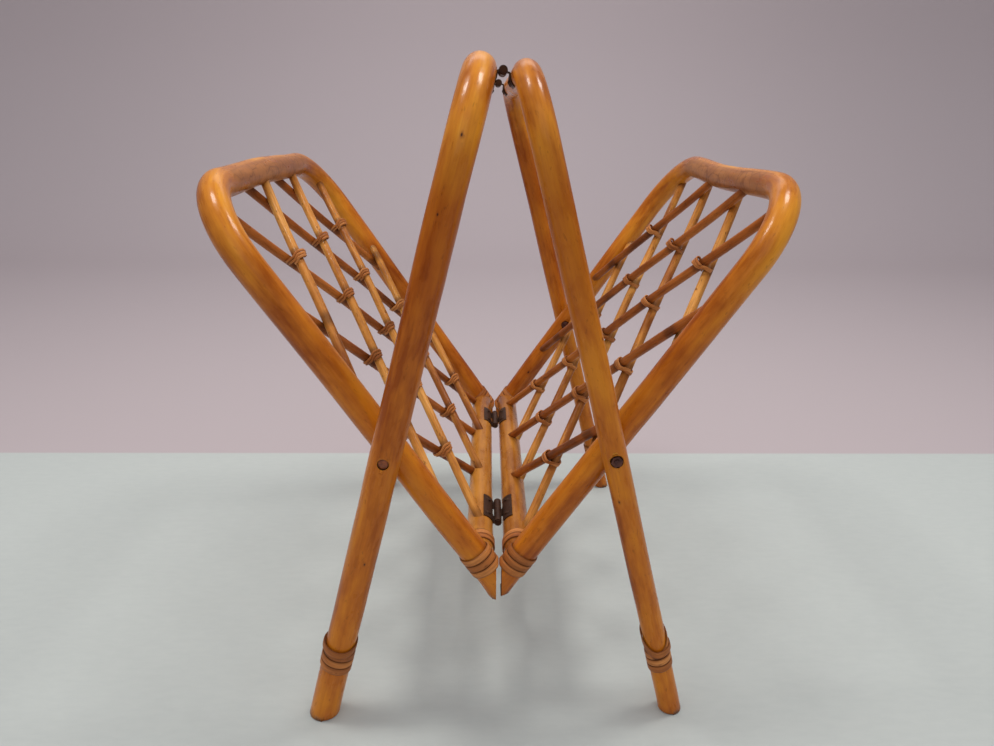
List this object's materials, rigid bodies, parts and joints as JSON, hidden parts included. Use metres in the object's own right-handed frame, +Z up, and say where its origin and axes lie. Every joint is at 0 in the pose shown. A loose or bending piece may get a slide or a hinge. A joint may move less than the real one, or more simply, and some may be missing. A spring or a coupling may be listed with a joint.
{
  "type": "folding magazine rack",
  "caption": "Folding magazine rack of bent cane: hinged leg hoops carry latticed tray hoops that open into a V and fold flat.",
  "frame": {"origin": "on the floor under the middle of the open rack, below the apex and bottom hinges", "axes": "+X to the right across the hoops, +Y from front to back along the hinge axes, +Z up"},
  "size_m": [0.4047, 0.3918, 0.4638],
  "materials": {
    "pole": "glossy honey lacquer on bent cane",
    "golden_cane": "glossy golden lacquered cane",
    "dark_cane": "satin reddish-brown lacquered cane",
    "binding": "satin split-cane strip",
    "metal": "dark oxidised"
  },
  "bodies": {
    "left_legs": {"left_leg_frame": "pole", "left_front_foot_binding": "binding", "left_rear_foot_binding": "binding", "left_pivot_bolts": "metal", "left_pivot_nuts": "metal", "left_apex_leaves": "metal", "left_apex_screws": "metal", "apex_pins": "metal"},
    "left_tray": {"left_tray_frame": "pole", "left_bottom_rail": "pole", "left_front_corner_binding": "binding", "left_rear_corner_binding": "binding", "left_rail_binding": "binding", "left_bottom_leaves": "metal", "left_bottom_screws": "metal", "bottom_pins": "metal", "left_inner_cane_1": "golden_cane", "left_inner_cane_2": "golden_cane", "left_inner_cane_3": "golden_cane", "left_inner_cane_4": "golden_cane", "left_inner_cane_5": "golden_cane", "left_outer_cane_1": "dark_cane", "left_outer_cane_2": "dark_cane", "left_outer_cane_3": "dark_cane", "left_outer_cane_4": "dark_cane", "left_outer_cane_5": "dark_cane", "left_cross_ties": "binding"},
    "right_tray": {"right_tray_frame": "pole", "right_bottom_rail": "pole", "right_front_corner_binding": "binding", "right_rear_corner_binding": "binding", "right_rail_binding": "binding", "right_bottom_leaves": "metal", "right_bottom_screws": "metal", "right_inner_cane_1": "dark_cane", "right_inner_cane_2": "dark_cane", "right_inner_cane_3": "dark_cane", "right_inner_cane_4": "dark_cane", "right_inner_cane_5": "dark_cane", "right_outer_cane_1": "golden_cane", "right_outer_cane_2": "golden_cane", "right_outer_cane_3": "golden_cane", "right_outer_cane_4": "golden_cane", "right_outer_cane_5": "golden_cane", "right_cross_ties": "binding"},
    "right_legs": {"right_leg_frame": "pole", "right_front_foot_binding": "binding", "right_rear_foot_binding": "binding", "right_pivot_bolts": "metal", "right_pivot_nuts": "metal", "right_apex_leaves": "metal", "right_apex_screws": "metal"}
  },
  "joints": [
    {"name": "left_pivot", "type": "hinge", "parent": "left_legs", "child": "left_tray", "pos_m": [-0.0767, 0, 0.21], "axis": [0, 1, 0], "range_deg": [0, 48.7]},
    {"name": "bottom_hinge", "type": "hinge", "parent": "left_tray", "child": "right_tray", "pos_m": [0, 0, 0.12115], "axis": [0, -1, 0], "range_deg": [0, 68.4]},
    {"name": "right_pivot", "type": "hinge", "parent": "right_tray", "child": "right_legs", "pos_m": [0.0767, 0, 0.21], "axis": [0, 1, 0], "range_deg": [0, 48.7]}
  ],
  "couplings": [
    {"joint": "left_pivot", "follows": "bottom_hinge", "ratio": 0.71126},
    {"joint": "right_pivot", "follows": "bottom_hinge", "ratio": 0.71126}
  ]
}
